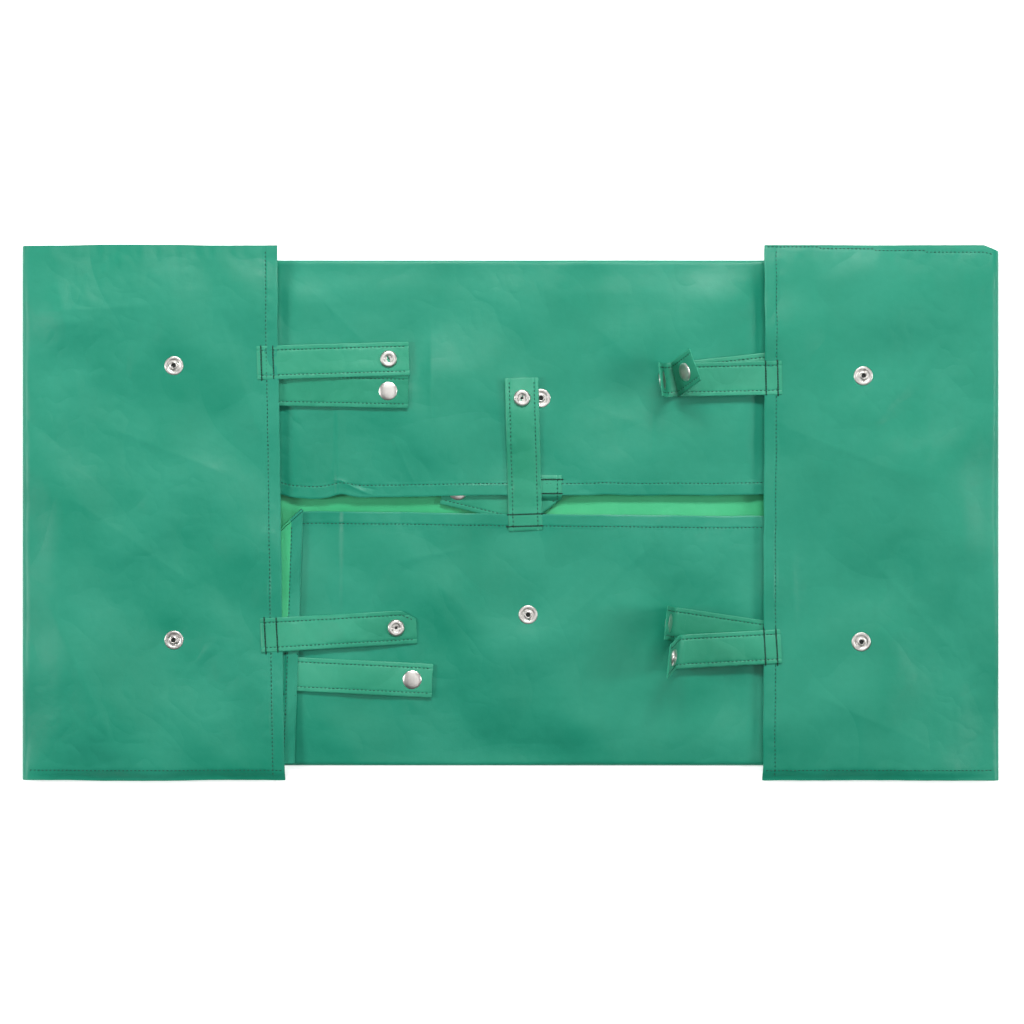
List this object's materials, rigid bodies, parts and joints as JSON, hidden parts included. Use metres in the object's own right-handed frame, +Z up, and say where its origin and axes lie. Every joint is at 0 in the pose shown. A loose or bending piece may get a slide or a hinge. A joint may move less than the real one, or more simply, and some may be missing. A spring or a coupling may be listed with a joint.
{
  "type": "folding fabric liner for a garden cart",
  "caption": "Folding garden cart liner: a shallow open box of coated green cloth, lying flat, with snap straps along the rim that loop over a cart's rails.",
  "frame": {"origin": "middle of the underside of the folded liner, on the ground", "axes": "+X along the length towards the right end wall; +Y towards the rear long wall; +Z up"},
  "size_m": [0.81, 0.4432, 0.0538],
  "materials": {
    "coated_cloth": "satin",
    "strap_cloth": "satin",
    "snap_metal": "polished"
  },
  "bodies": {
    "floor": {"bottom_panel": "coated_cloth", "floor_folds": "coated_cloth"},
    "left_end": {"left_end_wall": "coated_cloth", "left_end_strap_tabs": "strap_cloth", "left_end_studs": "snap_metal"},
    "right_end": {"right_end_wall": "coated_cloth", "right_end_strap_tabs": "strap_cloth", "right_end_studs": "snap_metal"},
    "rear": {"rear_wall": "coated_cloth", "rear_strap_tab": "strap_cloth", "rear_stud": "snap_metal"},
    "front": {"front_wall": "coated_cloth", "front_strap_tab": "strap_cloth", "front_stud": "snap_metal"},
    "rear_left_gusset": {"gusset_rear_left": "coated_cloth", "gusset_rear_left_strap_tab": "strap_cloth", "gusset_rear_left_stud": "snap_metal"},
    "front_left_gusset": {"gusset_front_left": "coated_cloth", "gusset_front_left_strap_tab": "strap_cloth", "gusset_front_left_stud": "snap_metal"},
    "rear_right_gusset": {"gusset_rear_right": "coated_cloth", "gusset_rear_right_strap_tab": "strap_cloth", "gusset_rear_right_stud": "snap_metal"},
    "front_right_gusset": {"gusset_front_right": "coated_cloth", "gusset_front_right_strap_tab": "strap_cloth", "gusset_front_right_stud": "snap_metal"},
    "left_rear_strap": {"left_rear_strap": "strap_cloth", "left_rear_strap_cap": "snap_metal", "left_rear_strap_socket": "snap_metal"},
    "left_front_strap": {"left_front_strap": "strap_cloth", "left_front_strap_cap": "snap_metal", "left_front_strap_socket": "snap_metal"},
    "right_rear_strap": {"right_rear_strap": "strap_cloth"},
    "right_rear_strap_end": {"right_rear_strap_end": "strap_cloth", "right_rear_strap_cap": "snap_metal", "right_rear_strap_socket": "snap_metal"},
    "right_front_strap": {"right_front_strap": "strap_cloth"},
    "right_front_strap_end": {"right_front_strap_end": "strap_cloth", "right_front_strap_cap": "snap_metal", "right_front_strap_socket": "snap_metal"},
    "gusset_rear_left_strap": {"gusset_rear_left_strap": "strap_cloth", "gusset_rear_left_strap_cap": "snap_metal", "gusset_rear_left_strap_socket": "snap_metal"},
    "gusset_front_left_strap": {"gusset_front_left_strap": "strap_cloth", "gusset_front_left_strap_cap": "snap_metal", "gusset_front_left_strap_socket": "snap_metal"},
    "gusset_rear_right_strap": {"gusset_rear_right_strap": "strap_cloth"},
    "gusset_rear_right_strap_end": {"gusset_rear_right_strap_end": "strap_cloth", "gusset_rear_right_strap_cap": "snap_metal", "gusset_rear_right_strap_socket": "snap_metal"},
    "gusset_front_right_strap": {"gusset_front_right_strap": "strap_cloth"},
    "gusset_front_right_strap_end": {"gusset_front_right_strap_end": "strap_cloth", "gusset_front_right_strap_cap": "snap_metal", "gusset_front_right_strap_socket": "snap_metal"},
    "front_centre_strap": {"front_centre_strap": "strap_cloth", "front_centre_strap_cap": "snap_metal", "front_centre_strap_socket": "snap_metal"},
    "rear_centre_strap": {"rear_centre_strap": "strap_cloth", "rear_centre_strap_cap": "snap_metal", "rear_centre_strap_socket": "snap_metal"}
  },
  "joints": [
    {"name": "left_end_fold", "type": "hinge", "parent": "floor", "child": "left_end", "pos_m": [-0.3985, 0, 0.0065], "axis": [0, -1, 0], "range_deg": [0, 90], "deforming": ["floor_folds", "gusset_rear_left", "gusset_front_left", "gusset_rear_right", "gusset_front_right", "gusset_rear_left_strap_tab", "gusset_front_left_strap_tab", "gusset_rear_right_strap_tab", "gusset_front_right_strap_tab", "gusset_rear_left_strap", "gusset_front_left_strap", "gusset_rear_right_strap", "gusset_front_right_strap", "left_end_wall", "right_end_wall"]},
    {"name": "right_end_fold", "type": "hinge", "parent": "floor", "child": "right_end", "pos_m": [0.3985, 0, 0.0065], "axis": [0, 1, 0], "range_deg": [0, 90]},
    {"name": "rear_wall_fold", "type": "hinge", "parent": "floor", "child": "rear", "pos_m": [0, 0.2066, 0.0034], "axis": [-1, 0, 0], "range_deg": [0, 90]},
    {"name": "front_wall_fold", "type": "hinge", "parent": "floor", "child": "front", "pos_m": [0, -0.2066, 0.0034], "axis": [1, 0, 0], "range_deg": [0, 90]},
    {"name": "rear_left_corner_fold", "type": "hinge", "parent": "rear", "child": "rear_left_gusset", "pos_m": [-0.4005, 0.2066, 0.0085], "axis": [0.7298, -0.6836, 0], "range_deg": [0, 180]},
    {"name": "front_left_corner_fold", "type": "hinge", "parent": "front", "child": "front_left_gusset", "pos_m": [-0.4005, -0.2066, 0.0085], "axis": [-0.7398, -0.6728, 0], "range_deg": [0, 180]},
    {"name": "rear_right_corner_fold", "type": "hinge", "parent": "rear", "child": "rear_right_gusset", "pos_m": [0.4005, 0.2066, 0.0085], "axis": [0.6993, 0.7148, 0], "range_deg": [0, 180]},
    {"name": "front_right_corner_fold", "type": "hinge", "parent": "front", "child": "front_right_gusset", "pos_m": [0.4005, -0.2066, 0.0085], "axis": [-0.6759, 0.737, 0], "range_deg": [0, 180]},
    {"name": "left_rear_strap_hinge", "type": "hinge", "parent": "left_end", "child": "left_rear_strap", "pos_m": [-0.18965, 0.1246, 0.0151], "axis": [0.0315, -0.9995, 0], "range_deg": [0, 181.4]},
    {"name": "left_front_strap_hinge", "type": "hinge", "parent": "left_end", "child": "left_front_strap", "pos_m": [-0.18655, -0.10015, 0.0151], "axis": [0.0538, -0.9986, 0], "range_deg": [0, 182.6]},
    {"name": "right_rear_strap_hinge", "type": "hinge", "parent": "right_end", "child": "right_rear_strap", "pos_m": [0.2045, 0.1115, 0.0151], "axis": [-0.0218, 0.9998, 0], "range_deg": [0, 180]},
    {"name": "right_rear_strap_curl", "type": "hinge", "parent": "right_rear_strap", "child": "right_rear_strap_end", "pos_m": [0.13602, 0.11001, 0.0146], "axis": [0.2292, -0.9734, 0], "range_deg": [0, 120]},
    {"name": "right_front_strap_hinge", "type": "hinge", "parent": "right_end", "child": "right_front_strap", "pos_m": [0.2037, -0.1113, 0.0151], "axis": [-0.0544, 0.9985, 0], "range_deg": [0, 180]},
    {"name": "right_front_strap_curl", "type": "hinge", "parent": "right_front_strap", "child": "right_front_strap_end", "pos_m": [0.1393, -0.11481, 0.0146], "axis": [-0.1371, -0.9906, 0], "range_deg": [0, 76]},
    {"name": "gusset_rear_left_strap_hinge", "type": "hinge", "parent": "rear_left_gusset", "child": "gusset_rear_left_strap", "pos_m": [-0.18895, 0.10275, 0.0081], "axis": [0.0211, 0.9998, 0], "range_deg": [0, 180]},
    {"name": "gusset_front_left_strap_hinge", "type": "hinge", "parent": "front_left_gusset", "child": "gusset_front_left_strap", "pos_m": [-0.17075, -0.1338, 0.0081], "axis": [0.0492, 0.9988, 0], "range_deg": [0, 180]},
    {"name": "gusset_rear_right_strap_hinge", "type": "hinge", "parent": "rear_right_gusset", "child": "gusset_rear_right_strap", "pos_m": [0.2125, 0.1189, 0.0081], "axis": [0.1084, -0.9941, 0], "range_deg": [0, 180]},
    {"name": "gusset_rear_right_strap_curl", "type": "hinge", "parent": "gusset_rear_right_strap", "child": "gusset_rear_right_strap_end", "pos_m": [0.12899, 0.10979, 0.011], "axis": [0.1084, -0.9941, 0], "range_deg": [0, 78]},
    {"name": "gusset_front_right_strap_hinge", "type": "hinge", "parent": "front_right_gusset", "child": "gusset_front_right_strap", "pos_m": [0.2125, -0.1035, 0.0081], "axis": [-0.1478, -0.989, 0], "range_deg": [0, 180]},
    {"name": "gusset_front_right_strap_curl", "type": "hinge", "parent": "gusset_front_right_strap", "child": "gusset_front_right_strap_end", "pos_m": [0.13556, -0.092, 0.011], "axis": [-0.0959, -0.9954, 0], "range_deg": [0, 76]},
    {"name": "front_centre_strap_hinge", "type": "hinge", "parent": "front", "child": "front_centre_strap", "pos_m": [0.012, 0.0054, 0.0094], "axis": [0.9996, 0.0278, 0], "range_deg": [0, 178.5]},
    {"name": "rear_centre_strap_swing", "type": "hinge", "parent": "rear", "child": "rear_centre_strap", "pos_m": [0.0145, 0.0045, 0.0036], "axis": [0, 0, 1], "range_deg": [-10, 12]}
  ],
  "couplings": [
    {"joint": "right_end_fold", "follows": "left_end_fold", "ratio": 1},
    {"joint": "rear_wall_fold", "follows": "left_end_fold", "ratio": 1},
    {"joint": "front_wall_fold", "follows": "left_end_fold", "ratio": 1},
    {"joint": "rear_left_corner_fold", "follows": "left_end_fold", "ratio": 2},
    {"joint": "front_left_corner_fold", "follows": "left_end_fold", "ratio": 2},
    {"joint": "rear_right_corner_fold", "follows": "left_end_fold", "ratio": 2},
    {"joint": "front_right_corner_fold", "follows": "left_end_fold", "ratio": 2},
    {"joint": "right_rear_strap_curl", "follows": "right_rear_strap_hinge", "ratio": 0.66667},
    {"joint": "right_front_strap_curl", "follows": "right_front_strap_hinge", "ratio": 0.42222},
    {"joint": "gusset_rear_left_strap_hinge", "follows": "left_end_fold", "ratio": 2},
    {"joint": "gusset_front_left_strap_hinge", "follows": "left_end_fold", "ratio": 2},
    {"joint": "gusset_rear_right_strap_hinge", "follows": "left_end_fold", "ratio": 2},
    {"joint": "gusset_rear_right_strap_curl", "follows": "left_end_fold", "ratio": 0.86667},
    {"joint": "gusset_front_right_strap_hinge", "follows": "left_end_fold", "ratio": 2},
    {"joint": "gusset_front_right_strap_curl", "follows": "left_end_fold", "ratio": 0.84444}
  ]
}
